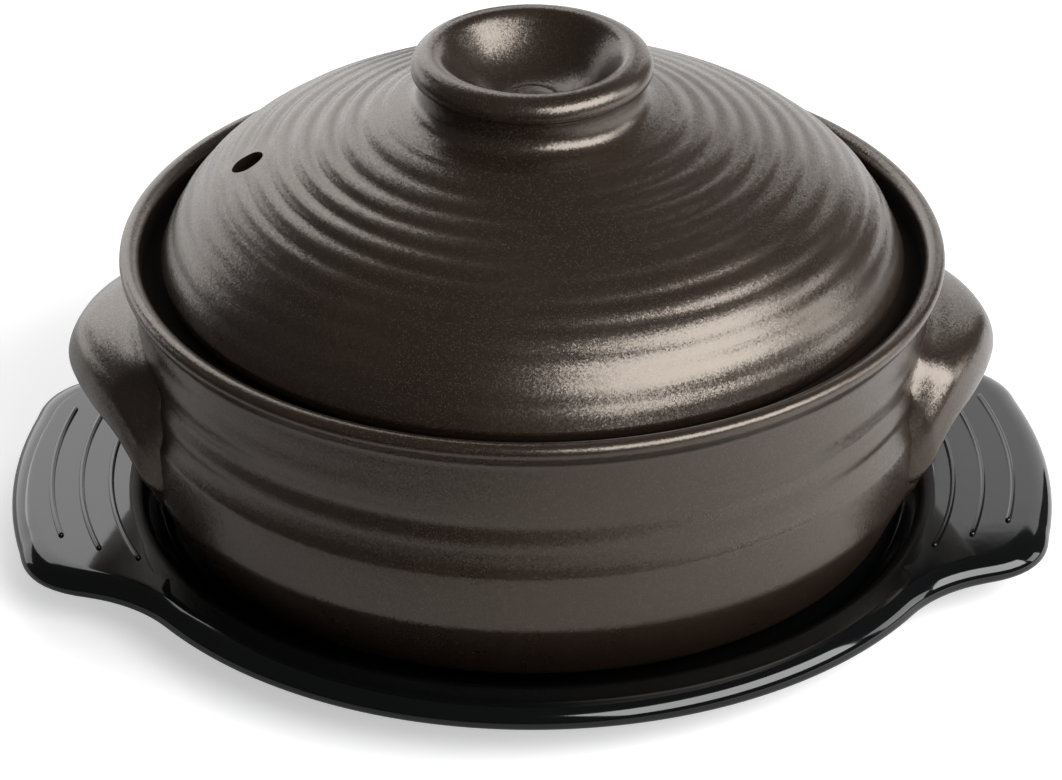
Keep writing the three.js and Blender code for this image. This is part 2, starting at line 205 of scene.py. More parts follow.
FOOT_RINGS = [(40.0, 2.0), (63.5, 2.0), (64.0, 1.6), (64.0, 0.4), (64.4, 0.0), (71.6, 0.0), (72.0, 0.4),
              (72.0, 1.6), (72.5, 2.0)]

# Optical constants of the finishes, and how fine their patterns are
GLAZE_IOR = 1.8
GLAZE_TINT = (1.0, 0.88, 0.77, 1)
CLOUD_SCALE = 26.0
GRAIN_SCALE = 3400.0
FLECK_SCALE = 4200.0
WHEEL_ROUND = 9.0
WHEEL_CLIMB = 420.0
# Near-black tones of the bare clay, which paint the shade in the gap between lid and rim; the grit mixes them
BARE_SHADE_DARK = (0.006, 0.0045, 0.0035, 1)
BARE_SHADE_LIGHT = (0.014, 0.0105, 0.0085, 1)
GRIT_SCALE = 900.0
MOULDING_IOR = 1.5
RUBBED_SCALE = 38.0
PEEL_SCALE = 240.0

# Floor: size and drop below the tray in metres, paleness under the light and to the camera. The ramps
# give a start, an end and the tones there: in reflections by the place along FLOOR_SLANT, from the front
# to the back, and for the glow to the camera by the distance from the middle.
FLOOR_SIZE = 8
FLOOR_DROP = 0.0001
FLOOR_PALE = (0.9, 0.68)
FLOOR_SLANT = 1.2
FLOOR_SIDE = (-0.3, 0.2, 0.34, 0.9)
FLOOR_FRONT = (-0.33, -0.205, 0.05, 1.0)
FLOOR_GLOW = (0.45, 1.2, 0.5, 1.0)
ROOM_GLOW = 0.08

# Soft boxes: the setting of the glow, turn from the front towards the right and rise in degrees, then
# distance, width and depth in metres, and whether the box shows in reflections
LIGHT_TARGET = 60
SOFT_BOXES = {
    "key_box": ("key_glow", 51, 38, 1.2, 1.4, 0.72, True),
    "left_panel": ("left_glow", -146, 8, 1.5, 1.6, 0.95, True),
    "back_panel": ("back_glow", -163, 35, 1.5, 0.9, 0.62, True),
    "side_panel": ("side_glow", 98, 15, 1.5, 0.5, 0.6, True),
    "right_panel": ("right_glow", 160, 13, 1.5, 0.95, 1.0, True),
    "top_panel": ("top_glow", 152, 56, 2.2, 2.4, 2.4, False),
}


# Settings

class GlazeSettings(bpy.types.PropertyGroup):
    """Finish of the pot and the lid."""

    colour: bpy.props.FloatVectorProperty(
        name="Glaze colour", description="Body colour of the fired glaze",
        subtype="COLOR", size=3, min=0, max=1, default=(0.0132, 0.0077, 0.005))
    fleck_colour: bpy.props.FloatVectorProperty(
        name="Fleck colour", description="Colour of the fine mica flecks",
        subtype="COLOR", size=3, min=0, max=1, default=(0.07, 0.053, 0.04))
    fleck_share: bpy.props.FloatProperty(
        name="Flecks", description="Share of the grains that show as flecks",
        subtype="FACTOR", min=0, max=1, default=0.4)
    sparkle: bpy.props.FloatProperty(
        name="Sparkle", description="How far the mica grains lean away from the surface",
        subtype="FACTOR", min=0, max=1, default=0.11)
    roughness: bpy.props.FloatProperty(
        name="Glaze roughness", description="Roughness of the satin glaze",
        subtype="FACTOR", min=0, max=1, default=0.27)


class PotSettings(bpy.types.PropertyGroup):
    """Shape of the pot and its lugs."""

    mark_depth: bpy.props.FloatProperty(
        name="Throwing marks", description="Strength of the finger marks on the wall",
        subtype="FACTOR", min=0, max=2, default=1)
    lug_reach: bpy.props.FloatProperty(
        name="Lug reach", description="How far a lug stands out from the wall",
        unit="LENGTH", subtype="DISTANCE", min=0, default=LUG_REACH * MM)


class LidSettings(bpy.types.PropertyGroup):
    """Shape of the lid."""

    ridge_pitch: bpy.props.FloatProperty(
        name="Ridge pitch", description="Distance between the throwing ridges on the dome",
        unit="LENGTH", subtype="DISTANCE", min=1 * MM, default=5.5 * MM)
    ridge_depth: bpy.props.FloatProperty(
        name="Ridge depth", description="Height of a ridge above the mean dome",
        unit="LENGTH", subtype="DISTANCE", min=0, default=0.36 * MM)
    vent_diameter: bpy.props.FloatProperty(
        name="Vent", description="Diameter of the steam vent",
        unit="LENGTH", subtype="DISTANCE", min=0, default=6.8 * MM)


class TraySettings(bpy.types.PropertyGroup):
    """Shape and finish of the moulded tray."""

    colour: bpy.props.FloatVectorProperty(
        name="Moulding colour", description="Colour of the moulded tray",
        subtype="COLOR", size=3, min=0, max=1, default=(0.0018, 0.002, 0.0022))
    roughness: bpy.props.FloatProperty(
        name="Moulding roughness", description="Roughness of the polished moulding",
        subtype="FACTOR", min=0, max=1, default=0.07)
    edge_round: bpy.props.FloatProperty(
        name="Edge round", description="Width of the soft round along the outer edge",
        unit="LENGTH", subtype="DISTANCE", min=0, default=5 * MM)
    rib_height: bpy.props.FloatProperty(
        name="Rib height", description="Height of the grip ribs above the tabs",
        unit="LENGTH", subtype="DISTANCE", min=0, default=0.7 * MM)


class StageSettings(bpy.types.PropertyGroup):
    """Camera, floor and light."""

    camera_azimuth: bpy.props.FloatProperty(
        name="Camera azimuth", description="Turn of the camera from the front, towards the right",
        unit="ROTATION", subtype="ANGLE", default=math.radians(-1.7))
    camera_elevation: bpy.props.FloatProperty(
        name="Camera elevation", description="Height of the camera above the horizon",
        unit="ROTATION", subtype="ANGLE", default=math.radians(30.13))
    camera_distance: bpy.props.FloatProperty(
        name="Camera distance", description="Distance of the camera from its target",
        unit="LENGTH", subtype="DISTANCE", min=0.1, default=1.0)
    target_height: bpy.props.FloatProperty(
        name="Target height", description="Height of the point that the camera looks at",
        unit="LENGTH", subtype="DISTANCE", default=33.2 * MM)
    key_glow: bpy.props.FloatProperty(
        name="Key glow", description="Brightness of the soft box at the front right",
        min=0, default=7.8)
    left_glow: bpy.props.FloatProperty(
        name="Left glow", description="Brightness of the panel behind at the left",
        min=0, default=1.85)
    back_glow: bpy.props.FloatProperty(
        name="Back glow", description="Brightness of the small panel high at the back",
        min=0, default=2.3)
    side_glow: bpy.props.FloatProperty(
        name="Side glow", description="Brightness of the small panel at the right side",
        min=0, default=3.5)
    right_glow: bpy.props.FloatProperty(
        name="Right glow", description="Brightness of the panel behind at the right",
        min=0, default=1.25)
    top_glow: bpy.props.FloatProperty(
        name="Top glow", description="Brightness of the panel overhead, which lights the floor",
        min=0, default=1.05)


class EarthenwareSettings(bpy.types.PropertyGroup):
    """All settings of the pot, the lid, the tray and the stage."""

    glaze: bpy.props.PointerProperty(type=GlazeSettings)
    pot: bpy.props.PointerProperty(type=PotSettings)
    lid: bpy.props.PointerProperty(type=LidSettings)
    tray: bpy.props.PointerProperty(type=TraySettings)
    stage: bpy.props.PointerProperty(type=StageSettings)


# Lines and turning

def flow(points, spacing):
    """A smooth line through the points, with a point about every `spacing`."""
    spots = np.array(points, float)
    ends = np.vstack([2 * spots[0] - spots[1], spots, 2 * spots[-1] - spots[-2]])
    line = [spots[0]]
    for index in range(len(spots) - 1):
        a, b, c, d = ends[index:index + 4]
        gaps = [math.sqrt(math.dist(p, q)) for p, q in ((a, b), (b, c), (c, d))]
        first, second, third = np.cumsum(gaps)
        count = max(1, math.ceil(math.dist(b, c) / spacing))
        for t in np.linspace(first, second, count + 1)[1:]:
            along = (t - first) / (second - first)
            middle = mix(b, c, along)
            beyond = mix(c, d, (t - second) / (third - second))
            near_side = mix(mix(a, b, t / first), middle, t / second)
            far_side = mix(middle, beyond, (t - first) / (third - first))
            line.append(mix(near_side, far_side, along))
    return [tuple(spot) for spot in line]


def mix(start, end, share):
    """The point at `share` of the way from start to end."""
    return start + (end - start) * share


def run_along(line):
    """The length of a line up to each of its points."""
    return np.concatenate([[0], np.cumsum(np.linalg.norm(np.diff(line, axis=0), axis=1))])


def bezier(corners, spacing):
    """Points on a cubic curve, about `spacing` apart along its length."""
    corners = np.array(corners, float)
    shares = np.linspace(0, 1, 400)[:, None]
    left = 1 - shares
    fine = (left ** 3 * corners[0] + 3 * left ** 2 * shares * corners[1]
            + 3 * left * shares ** 2 * corners[2] + shares ** 3 * corners[3])
    run = run_along(fine)
    stops = np.linspace(0, run[-1], max(2, int(run[-1] / spacing) + 1))
    return [tuple(float(np.interp(stop, run, side)) for side in fine.T) for stop in stops]


def name_new(name):
    """Names the object that was just added, and its mesh."""
    piece = bpy.context.object
    piece.name = piece.data.name = name
    return piece


def pick(piece, *others):
    """Selects a piece, and any others with it, and makes it active."""
    bpy.ops.object.select_all(action="DESELECT")
    for chosen in (piece, *others):
        chosen.select_set(True)
    bpy.context.view_layer.objects.active = piece


def start_line(name):
    """A new object in edit mode that holds a single selected vertex at the origin."""
    bpy.ops.object.select_all(action="DESELECT")
    bpy.ops.mesh.primitive_plane_add(size=SEED_SIZE)
    piece = name_new(name)
    bpy.ops.object.mode_set(mode="EDIT")
    bpy.ops.mesh.select_mode(type="VERT")
    bpy.ops.mesh.select_all(action="SELECT")
    bpy.ops.mesh.merge(type="CENTER")
    return piece


def draw_line(points):
    """Carries the selected vertex to the first point and extrudes it along the others."""
    bpy.ops.transform.translate(value=points[0])
    for start, end in zip(points, points[1:]):
        step = tuple(b - a for a, b in zip(start, end))
        bpy.ops.mesh.extrude_region_move(TRANSFORM_OT_translate={"value": step})


def turned(name, outline, steps):
    """A piece turned about Z from an outline in millimetres that runs from axis to axis."""
    piece = start_line(name)
    draw_line([(radius * MM, 0.0, height * MM) for radius, height in outline])
    bpy.ops.mesh.select_all(action="SELECT")
    bpy.ops.mesh.spin(steps=steps, angle=math.tau, center=(0, 0, 0), axis=(0, 0, 1))
    close_up()
    bpy.ops.object.mode_set(mode="OBJECT")
    return piece


def close_up():
    """Merges the doubles of the mesh in edit mode and points its faces outwards."""
    bpy.ops.mesh.select_all(action="SELECT")
    bpy.ops.mesh.remove_doubles(threshold=MERGE)
    bpy.ops.mesh.normals_make_consistent(inside=False)


def places(piece):
    """The vertices of a piece as rows of x, y and z."""
    spots = np.empty(len(piece.data.vertices) * 3)
    piece.data.vertices.foreach_get("co", spots)
    return spots.reshape(-1, 3)


def set_places(piece, spots):
    """Moves the vertices of a piece."""
    piece.data.vertices.foreach_set("co", spots.ravel())
    piece.data.update()


def finish_piece(piece, body, slot, finish, *nodes):
    """Smooths a piece, gives it its finish, and sets it on its body in place of its nodes."""
    pick(piece)
    bpy.ops.object.shade_smooth_by_angle(angle=SMOOTH_ANGLE)
    piece.data.materials.clear()
    piece.data.materials.append(finish)
    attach(piece, body)
    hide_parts(*nodes)


# Finishes

def new_finish(name):
    """A bare node material, and a helper that adds a node and wires its inputs."""
    finish = bpy.data.materials.new(name)
    finish.use_nodes = True
    tree = finish.node_tree
    tree.nodes.clear()
    return finish, adder(tree)


def adder(tree):
    """A helper that adds a node, sets its options, and wires or sets its inputs.

    An input goes by its socket's name, with _ for a space, or by i and its number.
    """
    def add(kind, options=None, **inputs):
        node = tree.nodes.new(kind)
        for key, value in (options or {}).items():
            setattr(node, key, value)
        for key, value in inputs.items():
            numbered = key[0] == "i" and key[1:].isdigit()
            socket = node.inputs[int(key[1:]) if numbered else key.replace("_", " ")]
            if isinstance(value, bpy.types.NodeSocket):
                tree.links.new(value, socket)
            else:
                socket.default_value = value
        return node
    return add


def ramp(add, value, start, end, low, high, **options):
    """Runs from low to high while a value runs from start to end."""
    return add("ShaderNodeMapRange", options, Value=value, i1=start, i2=end, i3=low, i4=high).outputs[0]


def shade(colour, share=1):
    """A colour made darker or lighter by a share, with full alpha."""
    return tuple(share * c for c in colour) + (1,)


def glaze_finish(settings):
    """Satin brown-black glaze with mica flecks, cloudy depth and faint wheel lines."""
    found = bpy.data.materials.get("satin_glaze")
    if found:
        return found
    finish, add = new_finish("satin_glaze")
    spot = add("ShaderNodeTexCoord").outputs["Object"]
    parts = add("ShaderNodeSeparateXYZ", i0=spot)
    flat = add("ShaderNodeCombineXYZ", X=parts.outputs["X"], Y=parts.outputs["Y"])
    radius = add("ShaderNodeVectorMath", {"operation": "LENGTH"}, i0=flat.outputs[0])
    climb = add("ShaderNodeMath", {"operation": "SUBTRACT"}, i0=parts.outputs["Z"], i1=radius.outputs["Value"])
    wheel_x, wheel_y, wheel_z = (
        add("ShaderNodeMath", {"operation": "MULTIPLY"}, i0=side, i1=scale).outputs[0]
        for side, scale in ((parts.outputs["X"], WHEEL_ROUND), (parts.outputs["Y"], WHEEL_ROUND),
                            (climb.outputs[0], WHEEL_CLIMB)))
    wheel = add("ShaderNodeCombineXYZ", X=wheel_x, Y=wheel_y, Z=wheel_z)
    wheel_lines = add("ShaderNodeTexNoise", i0=wheel.outputs[0], Scale=1.0, Detail=3.0, Roughness=0.55)
    clouds = add("ShaderNodeTexNoise", i0=spot, Scale=CLOUD_SCALE, Detail=5.0, Roughness=0.6)
    grains = add("ShaderNodeTexVoronoi", {"feature": "F1"}, i0=spot, Scale=GRAIN_SCALE)
    flakes = add("ShaderNodeTexVoronoi", {"feature": "F1"}, i0=spot, Scale=FLECK_SCALE)
    chance = add("ShaderNodeSeparateColor", i0=flakes.outputs["Color"])
    chosen = add("ShaderNodeMath", {"operation": "LESS_THAN"}, i0=chance.outputs[0], i1=settings.fleck_share)
    core = ramp(add, flakes.outputs["Distance"], 0.15, 0.6, 1.0, 0.0, interpolation_type="SMOOTHSTEP")
    fleck = add("ShaderNodeMath", {"operation": "MULTIPLY"}, i0=chosen.outputs[0], i1=core)
    fleck_bright = add("ShaderNodeMath", {"operation": "MULTIPLY"}, i0=fleck.outputs[0], i1=chance.outputs[1])
    depth = add("ShaderNodeMix", {"data_type": "RGBA"}, i0=clouds.outputs[0],
                i6=shade(settings.colour, 0.72), i7=shade(settings.colour, 1.30))
    specked = add("ShaderNodeMix", {"data_type": "RGBA"}, i0=fleck_bright.outputs[0],
                  i6=depth.outputs[2], i7=shade(settings.fleck_colour))
    gloss = ramp(add, clouds.outputs[0], 0.3, 0.7, settings.roughness - 0.03, settings.roughness + 0.05)
    lines = add("ShaderNodeBump", Strength=0.10, Distance=0.0004, Height=wheel_lines.outputs[0])
    lean = add("ShaderNodeVectorMath", {"operation": "SUBTRACT"},
               i0=grains.outputs["Color"], i1=(0.5, 0.5, 0.5))
    slight = add("ShaderNodeVectorMath", {"operation": "SCALE"}, i0=lean.outputs[0], Scale=settings.sparkle)
    leaning = add("ShaderNodeVectorMath", {"operation": "ADD"}, i0=lines.outputs[0], i1=slight.outputs[0])
    grained = add("ShaderNodeVectorMath", {"operation": "NORMALIZE"}, i0=leaning.outputs[0])
    shader = add("ShaderNodeBsdfPrincipled", Base_Color=specked.outputs[2], Roughness=gloss,
                 Normal=grained.outputs[0], IOR=GLAZE_IOR, Specular_Tint=GLAZE_TINT)
    add("ShaderNodeOutputMaterial", Surface=shader.outputs[0])
    return finish


def bare_shade_finish():
    """Unglazed fired clay, matt and near black, as it is left where the lid rests; its darkness paints the
    shade in the gap between lid and rim.
    """
    found = bpy.data.materials.get("bare_clay")
    if found:
        return found
    finish, add = new_finish("bare_clay")
    spot = add("ShaderNodeTexCoord").outputs["Object"]
    grit = add("ShaderNodeTexNoise", i0=spot, Scale=GRIT_SCALE, Detail=4.0, Roughness=0.7)
    tone = add("ShaderNodeMix", {"data_type": "RGBA"}, i0=grit.outputs[0], i6=BARE_SHADE_DARK, i7=BARE_SHADE_LIGHT)
    rough = add("ShaderNodeBump", Strength=0.4, Distance=0.0002, Height=grit.outputs[0])
    shader = add("ShaderNodeBsdfPrincipled", Base_Color=tone.outputs[2], Roughness=0.95,
                 Normal=rough.outputs[0], Specular_IOR_Level=0.08)
    add("ShaderNodeOutputMaterial", Surface=shader.outputs[0])
    return finish


def paint_bare_shade(piece, inner, outer, low, high):
    """Leaves the faces between two radii and two heights unglazed, in millimetres, in the near-black clay that
    paints the shade of the gap.
    """
    piece.data.materials.append(bare_shade_finish())
    for face in piece.data.polygons:
        radius = math.hypot(face.center.x, face.center.y) / MM
        if inner < radius < outer and low < face.center.z / MM < high:
            face.material_index = 1


def moulding_finish(settings):
    """Polished black moulding with a faint orange-peel and rubbed patches."""
    finish, add = new_finish("polished_moulding")
    spot = add("ShaderNodeTexCoord").outputs["Object"]
    rubbed = add("ShaderNodeTexNoise", i0=spot, Scale=RUBBED_SCALE, Detail=6.0, Roughness=0.65)
    peel = add("ShaderNodeTexNoise", i0=spot, Scale=PEEL_SCALE, Detail=1.0)
    gloss = ramp(add, rubbed.outputs[0], 0.35, 0.75, settings.roughness - 0.02, settings.roughness + 0.04)
    tone = add("ShaderNodeMix", {"data_type": "RGBA"}, i0=rubbed.outputs[0],
               i6=shade(settings.colour, 0.8), i7=shade(settings.colour, 1.25))
    skin = add("ShaderNodeBump", Strength=0.04, Distance=0.0002, Height=peel.outputs[0])
    shader = add("ShaderNodeBsdfPrincipled", Base_Color=tone.outputs[2], Roughness=gloss,
                 Normal=skin.outputs[0], IOR=MOULDING_IOR)
    add("ShaderNodeOutputMaterial", Surface=shader.outputs[0])
    return finish


# Pot and lugs

def pot_outline():
    """Outline of the pot from the middle of its foot, up the outside, and down to the bowl's floor."""
    outline = [*FOOT_MIDDLE, *flow(FOOT_LINE, 0.5), *flow(HEEL_LINE, 1.0), *flow(WALL_LINE, 0.7)[1:],
               *flow(LIP_LINE, 0.45)[1:], *flow(LEDGE_LINE, 1.0), *flow(BOWL_LINE, 3.0)[1:]]
    return [(radius, height + POT_BASE) for radius, height in outline]


def mark_wall(piece, depth):
    """Presses wandering finger marks into the outside of the wall, strongest at its two sides."""
    spots = places(piece)
    radius = np.hypot(spots[:, 0], spots[:, 1]) / MM
    turn = np.arctan2(spots[:, 1], spots[:, 0]) - FRONT
    height = spots[:, 2] / MM - POT_BASE
    shift = np.zeros(len(spots))
    for level, amount, width, drift, lobes, phase in WALL_MARKS:
        swing = 0.5 - 0.5 * np.cos(2 * turn + 0.25 * np.sin(turn + phase))
        strength = swing * (0.7 + 0.3 * np.sin(lobes * turn + phase))
        middle = level + drift * np.sin(turn + phase)
        shift += depth * amount * strength * np.exp(-((height - middle) / width) ** 2)
    outside = radius > POT_RIM - MARKED_DEPTH
    shift = np.where(outside & (height > MARKED_LEVELS[0]) & (height < MARKED_LEVELS[1]), shift, 0)
    scale = (radius + shift) / np.maximum(radius, MERGE)
    spots[:, :2] *= scale[:, None]
    set_places(piece, spots)


def lug_corner(row, turn):
    """A corner of the hood at a turn in degrees, on a smooth curve through its row of the table."""
    half = [(angle, *spot) for angle, spot in zip(LUG_TURNS, row)]
    line = np.array(flow([(-angle, *spot) for angle, *spot in reversed(half[1:])] + half, 0.5))
    return np.array([np.interp(turn, line[:, 0], line[:, side]) for side in (1, 2)])


def lug_section(turn, reach):
    """Section of a lug: distance from the axis and height above the table, from root to root."""
    wall = LUG_HOOD[0][0][0]
    inside = wall - LUG_SINK
    stretch = np.array((reach / LUG_REACH, 1))
    spots = [lug_corner(row, turn * LUG_HALF_ANGLE) for row in LUG_HOOD]
    root, *hood = [(spot - (wall, 0)) * stretch + (wall, 0) for spot in spots]
    lip = hood[-1]
    lip_bottom = lip[1] - LUG_LIP_DROP
    under = LUG_GAP - LUG_GAP_FALL * turn ** 2
    corners = [
        (inside, root[1] + 2.4),
        (wall - 0.6, root[1] + 1.3),
        (wall + 0.25 * (hood[0][0] - wall), root[1] + 0.2),
        *hood,
        (lip[0] - 1.1, lip_bottom),
        (wall + 0.45 * (lip[0] - wall), under + 0.42 * (lip_bottom - under) + 0.5),
        (wall + 1.2, under + 0.3),
        (wall - 0.5, under - 2.0),
        (inside, under - 3.0),
    ]
    past = max(0.0, (abs(turn) - LUG_CLOSING_START) / LUG_CLOSING_LENGTH)
    closing = math.sqrt(max(0.0, 1 - past ** 2))
    end = np.array((inside, (root[1] + under) / 2))
    return [tuple(mix(end, np.array(corner), closing)) for corner in corners]


def lug_surface(reach):
    """Rows of points on a lug, one row for each section from one end to the other."""
    rows = []
    sweep = np.linspace(-1, 1, LUG_SECTIONS) * LUG_CROWDING
    for turn in np.sin(sweep) / math.sin(LUG_CROWDING_LIMIT):
        line = np.array(flow(lug_section(turn, reach), 0.4))
        run = run_along(line)
        stops = np.linspace(0, run[-1], LUG_ROUNDS)
        angle = turn * math.radians(LUG_HALF_ANGLE)
        radius = np.interp(stops, run, line[:, 0])
        height = np.interp(stops, run, line[:, 1])
        rows.append(np.column_stack([radius * math.cos(angle), radius * math.sin(angle), height]))
    return np.array(rows) * MM


def lug_piece(name, side, reach):
    """A lug shaped from a grid that is wrapped round its sections and closed inside the wall."""
    bpy.ops.object.select_all(action="DESELECT")
    bpy.ops.mesh.primitive_grid_add(x_subdivisions=LUG_ROUNDS - 1, y_subdivisions=LUG_SECTIONS - 1, size=1)
    piece = name_new(name)
    spots = lug_surface(reach).reshape(-1, 3)
    spots[:, :2] *= side
    set_places(piece, spots)
    bpy.ops.object.mode_set(mode="EDIT")
    bpy.ops.mesh.select_all(action="SELECT")
    bpy.ops.mesh.remove_doubles(threshold=MERGE)
    bpy.ops.mesh.select_all(action="DESELECT")
    bpy.ops.mesh.select_non_manifold()
    bpy.ops.mesh.edge_face_add()
    close_up()
    bpy.ops.object.mode_set(mode="OBJECT")
    return piece


class EARTHENWARE_OT_pot(bpy.types.Operator):
    """Turns the pot's body and presses the throwing marks into its wall."""

    bl_idname = "earthenware.pot"
    bl_label = "Pot body"

    def execute(self, context):
        settings = context.scene.earthenware
        piece = turned("pot_body", pot_outline(), TURN_STEPS)
        mark_wall(piece, settings.pot.mark_depth)
        finish_piece(piece, "pot", "glaze", glaze_finish(settings.glaze), "pot_bowl")
        # The ledge gets the near-black bare clay, which paints the shade of the gap under the lid
        inner, outer, low, high = BARE_LEDGE_SHADE
        paint_bare_shade(piece, inner, outer, POT_BASE + low, POT_BASE + high)
        return {"FINISHED"}


class EARTHENWARE_OT_lugs(bpy.types.Operator):
    """Shapes the two finger lugs and runs them into the wall."""

    bl_idname = "earthenware.lugs"
    bl_label = "Lugs"

    def execute(self, context):
        settings = context.scene.earthenware
        for name, node, side in (("lug_right", "lug_handle_right", 1), ("lug_left", "lug_handle_left", -1)):
            piece = lug_piece(name, side, settings.pot.lug_reach / MM)
            finish_piece(piece, "pot", "glaze", glaze_finish(settings.glaze), node)
        return {"FINISHED"}


# Lid and knob

def dome_line(edge, top, spacing):
    """A dome's curve from its edge up to the knob's seat."""
    (lean, edge_pull), (slope, top_pull) = DOME_SHOULDER, DOME_CROWN
    lean, slope = math.radians(lean), math.radians(slope)
    shoulder = (edge[0] - edge_pull * math.sin(lean), edge[1] + edge_pull * math.cos(lean))
    crown = (top[0] + top_pull * math.cos(slope), top[1] - top_pull * math.sin(slope))
    return bezier([edge, shoulder, crown, top], spacing)


def outer_dome(spacing):
    """The outside of the lid's dome."""
    edge = (LID_RADIUS - DOME_EDGE_INSET, LID_BASE + DOME_EDGE_RISE)
    return dome_line(edge, (DOME_TOP_RADIUS, KNOB_SEAT), spacing)


def lid_outline():
    """Outline of the lid from the middle of its underside, round its edge, and up the dome."""
    ceiling = KNOB_SEAT - LID_WALL_TOP
    inside = dome_line((LID_RADIUS - LID_WALL_EDGE, LID_BASE), (DOME_TOP_RADIUS, ceiling), 2.0)
    edge = [(radius, height + LID_BASE) for radius, height in flow(LID_EDGE_LINE, 0.35)]
    return [(0.0, ceiling), *reversed(inside), *edge, *outer_dome(0.6), (0.0, KNOB_SEAT)]


def ridge_dome(piece, pitch, depth):
    """Raises the throwing ridges of the dome, which wander a little and fade towards the edge."""
    spots = places(piece)
    radius = np.hypot(spots[:, 0], spots[:, 1])
    turn = np.arctan2(spots[:, 1], spots[:, 0])
    curve = np.array(outer_dome(0.2)) * MM
    run = run_along(curve)
    slant = np.gradient(curve, axis=0)
    slant /= np.linalg.norm(slant, axis=1)[:, None]
    lengths = np.interp(-radius, -curve[:, 0], run)
    out = np.interp(lengths, run, slant[:, 1])
    up = np.interp(lengths, run, -slant[:, 0])
    expected = np.interp(lengths, run, curve[:, 1])
    between = (radius < curve[0, 0] - MERGE) & (radius > curve[-1, 0])
    on_dome = between & (np.abs(spots[:, 2] - expected) < 0.3 * MM)
    share = lengths / run[-1]
    wander = 0.35 * np.sin(2 * turn + 9 * share) + 0.25 * np.sin(3 * turn - 14 * share + 1)
    wave = np.sin(math.tau * lengths / pitch + turn + wander)
    crest = wave - 0.22 * wave ** 2 + 0.11
    strength = np.interp(share, [0, 0.06, 0.3, 0.55, 0.9, 1], [0.0, 0.22, 0.45, 0.95, 1.0, 0.5])
    unevenness = 0.85 + 0.25 * np.sin(turn + 11 * share) * np.sin(5 * share + 2 * turn)
    side = np.cos(turn) ** 2
    unevenness *= np.interp(share, [0, 0.35, 0.6], [0.75, 0.6, 0.25]) * (1 - side) + side
    from_vent = np.hypot(spots[:, 0] + (LID_RADIUS - VENT_INSET) * MM, spots[:, 1])
    calm = np.clip((from_vent - 3.5 * MM) / (6 * MM), 0.15, 1)
    lift = np.where(on_dome, depth * crest * strength * unevenness * calm, 0)
    spots[:, :2] *= (1 + lift * out / np.maximum(radius, MERGE))[:, None]
    spots[:, 2] += lift * up
    set_places(piece, spots)


def cut_vent(piece, diameter):
    """Bores the steam vent down through the dome at its left side."""
    bpy.ops.object.select_all(action="DESELECT")
    place = (-(LID_RADIUS - VENT_INSET) * MM, 0, KNOB_SEAT * MM)
    bpy.ops.mesh.primitive_cylinder_add(vertices=VENT_POINTS, radius=diameter / 2, depth=VENT_BORE * MM,
                                        location=place)
    drill = bpy.context.object
    bpy.ops.object.transform_apply(location=True)
    pick(piece)
    bore = piece.modifiers.new("vent", "BOOLEAN")
    bore.operation = "DIFFERENCE"
    bore.solver = "EXACT"
    bore.object = drill
    bpy.ops.object.modifier_apply(modifier=bore.name)
    bpy.data.objects.remove(drill)


def knob_outline():
    """Outline of the knob from its seat up the neck, over the lip and down into the dish."""
    bottom = KNOB_SEAT - KNOB_SINK
    neck = [(radius, height + KNOB_SEAT) for radius, height in flow(KNOB_NECK_LINE, 0.5)]
    level = KNOB_TOP - KNOB_LIP_HEIGHT
    lip = [(KNOB_LIP_MIDDLE + KNOB_LIP_WIDTH * math.cos(a), level + KNOB_LIP_HEIGHT * math.sin(a))
           for a in KNOB_LIP_ANGLES]
    dish = [(radius, height + KNOB_TOP) for radius, height in flow(KNOB_DISH_LINE, 0.4)]
    return [(0.0, bottom), (KNOB_SEAT_RADIUS, bottom), *neck, *lip, *dish]


class EARTHENWARE_OT_lid(bpy.types.Operator):
    """Turns the lid's dome, raises its ridges and bores the steam vent."""

    bl_idname = "earthenware.lid"
    bl_label = "Lid dome"

    def execute(self, context):
        settings = context.scene.earthenware
        piece = turned("lid_shell", lid_outline(), TURN_STEPS)
        ridge_dome(piece, settings.lid.ridge_pitch, settings.lid.ridge_depth)
        cut_vent(piece, settings.lid.vent_diameter)
        finish_piece(piece, "lid", "glaze", glaze_finish(settings.glaze), "lid_dome")
        # The lid's edge gets the near-black bare clay, which paints the shade of the gap over the rim
        inner, outer, low, high = BARE_LID_EDGE_SHADE
        paint_bare_shade(piece, LID_RADIUS + inner, LID_RADIUS + outer, LID_BASE + low, LID_BASE + high)
        return {"FINISHED"}


class EARTHENWARE_OT_knob(bpy.types.Operator):
    """Turns the cupped knob with its flared neck."""

    bl_idname = "earthenware.knob"
    bl_label = "Lid knob"

    def execute(self, context):
        settings = context.scene.earthenware
        piece = turned("knob_ring", knob_outline(), KNOB_TURN_STEPS)
        finish_piece(piece, "lid", "glaze", glaze_finish(settings.glaze), "lid_knob")
        return {"FINISHED"}


# Tray

def quadratic(start, middle, end, count):
    """Points on a quadratic curve, without its first point."""
    shares = np.arange(1, count + 1)[:, None] / count
    start, middle, end = (np.array(p, float) for p in (start, middle, end))
    return (1 - shares) ** 2 * start + 2 * (1 - shares) * shares * middle + shares ** 2 * end


